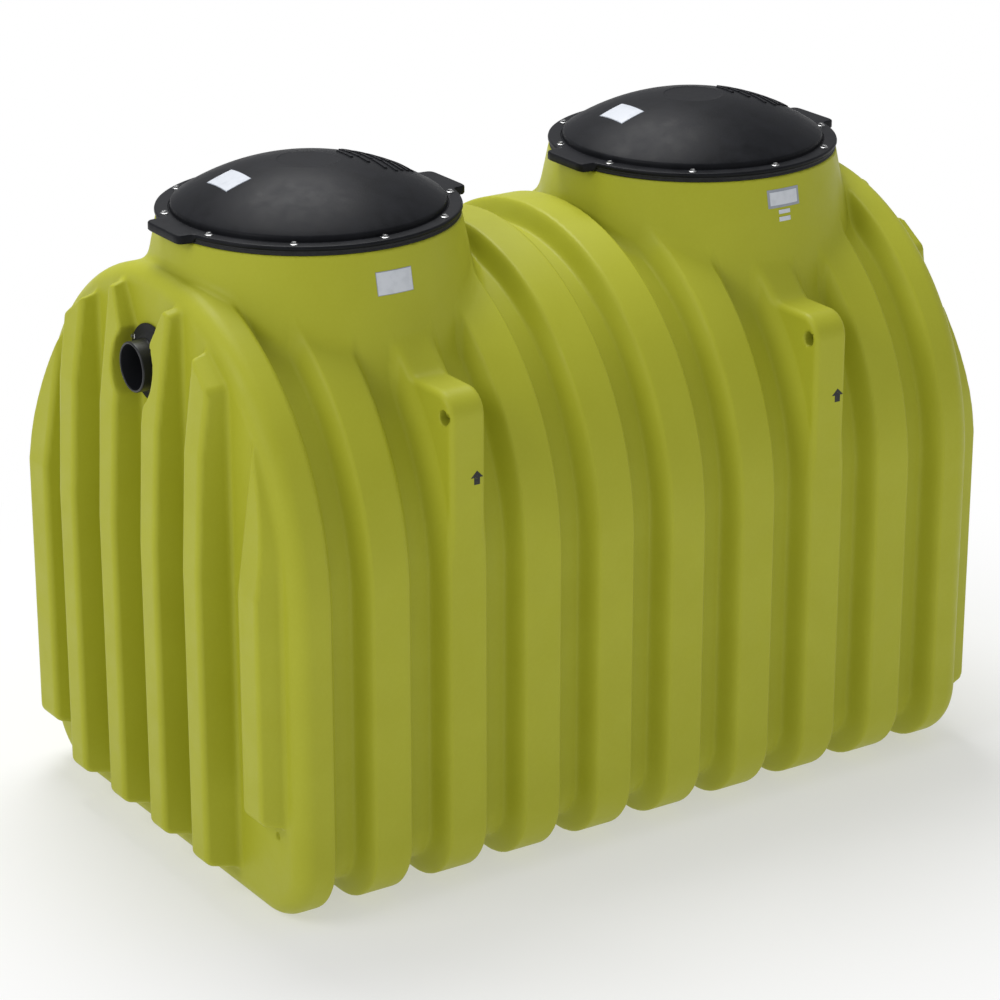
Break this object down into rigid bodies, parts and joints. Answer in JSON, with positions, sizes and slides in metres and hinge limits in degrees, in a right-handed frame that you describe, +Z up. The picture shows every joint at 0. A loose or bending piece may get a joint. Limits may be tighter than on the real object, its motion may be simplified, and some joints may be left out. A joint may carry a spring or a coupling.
{
  "type": "septic tank",
  "caption": "Low-profile septic tank: ribbed polyethylene body with a vaulted top and flat ribbed ends, domed bolted manhole lids, lifting lugs and pipe stubs.",
  "frame": {"origin": "on the ground under the middle of the tank", "axes": "+X along the tank to the inlet end, +Y across it, +Z up"},
  "size_m": [2.0284, 1.196, 1.5669],
  "materials": {
    "tank_plastic": "rotationally moulded polyethylene, yellow-green, satin",
    "lid_plastic": "injection moulded polypropylene, near black, satin",
    "pipe_plastic": "black pipe, smooth",
    "seal_rubber": "black moulded rubber"
  },
  "bodies": {
    "root": {"floor_pan": "tank_plastic", "corner_near": "tank_plastic", "corner_far": "tank_plastic", "side_wall_near": "tank_plastic", "side_wall_far": "tank_plastic", "haunch_near": "tank_plastic", "haunch_far": "tank_plastic", "crown_outlet": "tank_plastic", "crown_middle_near": "tank_plastic", "crown_middle_far": "tank_plastic", "crown_inlet": "tank_plastic", "outlet_end_wall": "tank_plastic", "inlet_end_wall": "tank_plastic", "outlet_port_ring": "tank_plastic", "inlet_port_ring": "tank_plastic", "outlet_end_rib_1": "tank_plastic", "outlet_end_rib_2": "tank_plastic", "outlet_end_rib_3": "tank_plastic", "outlet_end_rib_4": "tank_plastic", "outlet_end_rib_5": "tank_plastic", "outlet_end_rib_6": "tank_plastic", "inlet_end_rib_1": "tank_plastic", "inlet_end_rib_2": "tank_plastic", "inlet_end_rib_3": "tank_plastic", "inlet_end_rib_4": "tank_plastic", "inlet_end_rib_5": "tank_plastic", "inlet_end_rib_6": "tank_plastic", "collar_outlet": "tank_plastic", "collar_inlet": "tank_plastic", "lug_near_outlet": "tank_plastic", "lug_near_inlet": "tank_plastic", "lug_far_outlet": "tank_plastic", "lug_far_inlet": "tank_plastic", "outlet_pipe": "pipe_plastic", "inlet_pipe": "pipe_plastic", "outlet_seal": "seal_rubber", "inlet_seal": "seal_rubber", "outlet_gasket": "seal_rubber", "inlet_gasket": "seal_rubber", "outlet_lid": "lid_plastic", "inlet_lid": "lid_plastic"}
  },
  "joints": []
}
